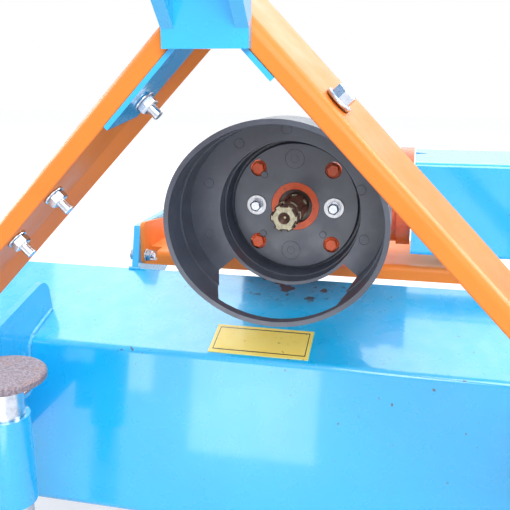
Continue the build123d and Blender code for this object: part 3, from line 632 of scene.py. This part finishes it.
# Bolts of the legs' foot tabs through the link plates
LINK_OUTER_X = 350.0
TAB_INNER_X = 330.0
FOOT_Y = -425.0
foot_bolts = bmesh.new()
for side in (-1, 1):
    for z in (178.0, 222.0):
        hex_bolt(foot_bolts, mm(side * LINK_OUTER_X, FOOT_Y, z), (side, 0, 0), across=18.0,
                 head=7.5, washer=11.0, washer_thick=2.2)
        nut_and_thread(foot_bolts, mm(side * TAB_INNER_X, FOOT_Y, z), (-side, 0, 0), across=18.0,
                       thick=8.0, thread=5.8, reach=5.0, washer=11.0)
finish_piece("foot_bolts", foot_bolts, "zinc")

# Linch pins through the lower link pins: a pin, and a spring ring round the link pin
LINCH_AT = (387.0, -437.0, 140.0)
LINCH_RING = 21.0
linch = bmesh.new()
for side in (-1, 1):
    middle = mm(side * LINCH_AT[0], *LINCH_AT[1:])
    turned(linch, [(2.6 * MM, -22.0 * MM), (4.4 * MM, -19.0 * MM), (4.4 * MM, 16.0 * MM),
                   (6.8 * MM, 16.5 * MM), (6.8 * MM, 22.0 * MM), (5.6 * MM, 24.0 * MM)],
           middle, (0, 0, 1), segments=24)
    ring_middle = middle + mm(side * 7.0, 0.0, 1.0)
    ring = circle(Vector, ring_middle, mm(0, 1, 0), mm(0, 0, 1), LINCH_RING, 48)
    closed_bar(linch, ring, 1.9 * MM, 10)
finish_piece("linch_pins", linch, "zinc")

# Ring clip of the stand's pin, leaning a little
CLIP_AT = mm(-285.0, -367.0, 89.3)
clip = bmesh.new()
ring = circle(Vector, CLIP_AT, mm(0.0, 0.0, 12.0), mm(11.0, 2.25, 0.0), 1.0, 40)
closed_bar(clip, ring, 1.3 * MM, 8)
finish_piece("stand_clip", clip, "zinc", "stand")


def on_deck(x, y, lift):
    """A place lifted off the deck's slope, in millimetres."""
    slope = (RIDGE_Z - BEND_Z) / -BEND_Y
    return Vector((x * MM, y * MM, RIDGE_Z + slope * y * MM + lift * MM))


# Weld beads: link plates on the deck, carriers at the ridge, and the arms of the stand's sleeve
LINK_INNER_X = 340.0
CARRIER_WELD_X = (248.0, 266.0)
SLEEVE_WELD_Z = (23.0, 91.0)
welds = bmesh.new()
for side in (-1, 1):
    x = side * LINK_INNER_X
    weld(welds, on_deck(x, -110.0, 0.6), on_deck(x, -166.0, 0.6), 4.6, side)
    weld(welds, on_deck(x, -164.0, 0.6), mm(x, -176.0, 110.0), 4.4, side + 2.0)
    weld(welds, mm(x, -175.5, 113.0), mm(x, -183.0, 48.0), 4.2, side + 3.0)
    x = side * LINK_OUTER_X
    weld(welds, on_deck(x, -114.0, 1.0), on_deck(x, -166.0, 1.0), 3.0, side + 7.0)
    low_x, high_x = sorted(side * place_x for place_x in CARRIER_WELD_X)
    ridge = (-1.5 * MM, RIDGE_Z + 0.6 * MM)
    weld(welds, (low_x * MM, *ridge), (high_x * MM, *ridge), 3.0, side + 11.0)
for z in SLEEVE_WELD_Z:
    weld(welds, mm(-311.0, -329.0, z), mm(-311.0, -315.0, z), 2.6, z)
finish_piece("weld_beads", welds, "blue_paint")


def on_guard(x, y, z):
    """A place on the guard, in millimetres from the shaft's axis."""
    return mm(x, y, z) + Vector((0, 0, SHAFT_Z))


# Ejector marks on the guard: double ones on the disc, single ones on the flat ring, and small pads
DISC_FRONT = -60.0
RING_FRONT = -105.2
DISC_MARKS = ((-1.3, 62.8), (-4.7, -60.1))
RING_MARKS = (
    (-4.3, 104.7), (-64.2, 86.1), (-104.9, 34.3), (-105.0, -32.8), (95.4, -29.9), (89.2, 32.8),
)
PADS = ((-43.0, -38.7), (38.1, -36.6), (-41.7, 41.0))
marks = bmesh.new()
for x, z in DISC_MARKS:
    ring_mark(marks, on_guard(x, DISC_FRONT, z), 12.5)
    ring_mark(marks, on_guard(x, DISC_FRONT, z), 5.0, 0.25)
for x, z in RING_MARKS:
    ring_mark(marks, on_guard(x, RING_FRONT, z), 6.2)
for x, z in PADS:
    turned(marks, [(4.6 * MM, 0.0), (4.6 * MM, 0.6 * MM), (4.0 * MM, 0.9 * MM)],
           on_guard(x, DISC_FRONT, z), TO_TRACTOR, segments=24)
finish_piece("guard_marks", marks, "black_plastic")

# Background: half the floor's width, its drop below the part, its glow in the picture, and the
# strength and colour of the surroundings' own light
FLOOR_HALF = 9.0
FLOOR_DROP = 0.02
FLOOR_GLOW = 0.62
FLOOR_COLOUR = (0.48, 0.48, 0.50, 1.0)
WHITE = (1.0, 1.0, 1.0, 1.0)
SKY_STRENGTH = 0.68
SKY_COLOUR = (0.95, 0.97, 1.0, 1.0)


def background_rays(tree):
    """1 for rays that show the background: to the camera, in a mirror image, or through glass."""
    path = tree.nodes.new("ShaderNodeLightPath")
    rays = math_node(tree, "MAXIMUM", path.outputs["Is Camera Ray"], path.outputs["Is Glossy Ray"])
    return math_node(tree, "MAXIMUM", rays, path.outputs["Is Transmission Ray"])


def studio_floor():
    """A pale floor that keeps the object's shadow."""
    mesh = bmesh.new()
    bmesh.ops.create_grid(mesh, x_segments=1, y_segments=1, size=FLOOR_HALF)
    data = bpy.data.meshes.new("floor")
    mesh.to_mesh(data)
    mesh.free()
    floor = bpy.data.objects.new("floor", data)
    floor.location.z = cad_box[0].z - FLOOR_DROP
    bpy.context.scene.collection.objects.link(floor)
    made, tree, shader = material("pale_floor")
    shader.inputs["Base Color"].default_value = FLOOR_COLOUR
    shader.inputs["Roughness"].default_value = 0.9
    shader.inputs["Emission Color"].default_value = WHITE
    glow = math_node(tree, "MULTIPLY", background_rays(tree), FLOOR_GLOW)
    tree.links.new(glow, shader.inputs["Emission Strength"])
    data.materials.append(made)


def surroundings():
    """White where they are seen, and softer where they light the object."""
    world = bpy.data.worlds.new("studio")
    bpy.context.scene.world = world
    world.use_nodes = True
    tree = world.node_tree
    tree.nodes.clear()
    out = tree.nodes.new("ShaderNodeOutputWorld")
    seen = tree.nodes.new("ShaderNodeBackground")
    lit = tree.nodes.new("ShaderNodeBackground")
    seen.inputs["Color"].default_value = WHITE
    seen.inputs["Strength"].default_value = 1.0
    lit.inputs["Color"].default_value = SKY_COLOUR
    lit.inputs["Strength"].default_value = SKY_STRENGTH
    blend = tree.nodes.new("ShaderNodeMixShader")
    tree.links.new(background_rays(tree), blend.inputs["Fac"])
    tree.links.new(lit.outputs["Background"], blend.inputs[1])
    tree.links.new(seen.outputs["Background"], blend.inputs[2])
    tree.links.new(blend.outputs["Shader"], out.inputs["Surface"])


def lamp(
    name, place_at, target, width, power, height=None, colour=(1.0, 1.0, 1.0), sheen_only=False
):
    """One soft lamp of a width and a power in watts, aimed at a point; sheen_only lights no matt
    surface."""
    data = bpy.data.lights.new(name, "AREA")
    data.shape = "RECTANGLE"
    data.size = width
    data.size_y = height or width
    data.energy = power
    data.color = colour
    made = bpy.data.objects.new(name, data)
    made.location = place_at
    made.rotation_mode = "QUATERNION"
    made.rotation_quaternion = (Vector(target) - Vector(place_at)).to_track_quat("-Z", "Y")
    made.visible_diffuse = not sheen_only
    bpy.context.scene.collection.objects.link(made)


# Camera: solved from the shaft, the hub, the guard and the hitch in the photograph
CAMERA_AT = (0.1538, -0.9618, 0.4730)
CAMERA_RIGHT = (0.974, 0.225, 0.0)
CAMERA_UP = (-0.0583, 0.252, 0.965)
FOCAL_PIXELS = 700.0
FRAME_PIXELS = 510.0
SENSOR_MM = 36.0


def camera():
    """The photograph's own viewing angle."""
    data = bpy.data.cameras.new("camera")
    data.sensor_width = SENSOR_MM
    data.lens = SENSOR_MM * FOCAL_PIXELS / FRAME_PIXELS
    data.clip_start = 0.01
    data.clip_end = 60.0
    made = bpy.data.objects.new("camera", data)
    right = Vector(CAMERA_RIGHT).normalized()
    up = (Vector(CAMERA_UP) - right * right.dot(Vector(CAMERA_UP))).normalized()
    back = right.cross(up)
    turn = Matrix((right, up, back)).transposed()
    made.rotation_mode = "QUATERNION"
    made.rotation_quaternion = turn.to_quaternion()
    made.location = CAMERA_AT
    bpy.context.scene.collection.objects.link(made)
    bpy.context.scene.camera = made


# The deck mirrors open sky on the right too, as in the photograph
nodes["shaft_cover"].visible_glossy = False

studio_floor()
surroundings()
lamp("key", (0.9, -2.6, 2.0), (0.0, 0.0, 0.25), 2.2, 84.0)
lamp("sky", (0.0, 2.5, 3.4), (0.0, 0.0, 0.2), 5.2, 190.0, colour=(0.96, 0.99, 1.0))
lamp("right", (2.3, 0.20, 1.35), (0.2, -0.44, 0.3), 2.0, 130.0, sheen_only=True)
lamp("left", (-2.4, 0.35, 0.75), (-0.2, -0.44, 0.3), 1.6, 55.0, sheen_only=True)
# Two panels that the front face mirrors: left and right ends, foot and top, and power
FRONT_PANELS = {
    "front_panel_wide": (-0.286, -0.014, -0.165, 0.120, 0.54),
    "front_panel_narrow": (-0.650, -0.375, -0.050, 0.140, 0.38),
}
PANEL_Y = -0.75
for name, (left, right, foot, top, power) in FRONT_PANELS.items():
    middle = ((left + right) / 2, PANEL_Y, (foot + top) / 2)
    lamp(name, middle, (middle[0], 0.0, middle[2]), right - left, power, height=top - foot,
         sheen_only=True)
camera()
bpy.context.scene.view_settings.view_transform = "Standard"
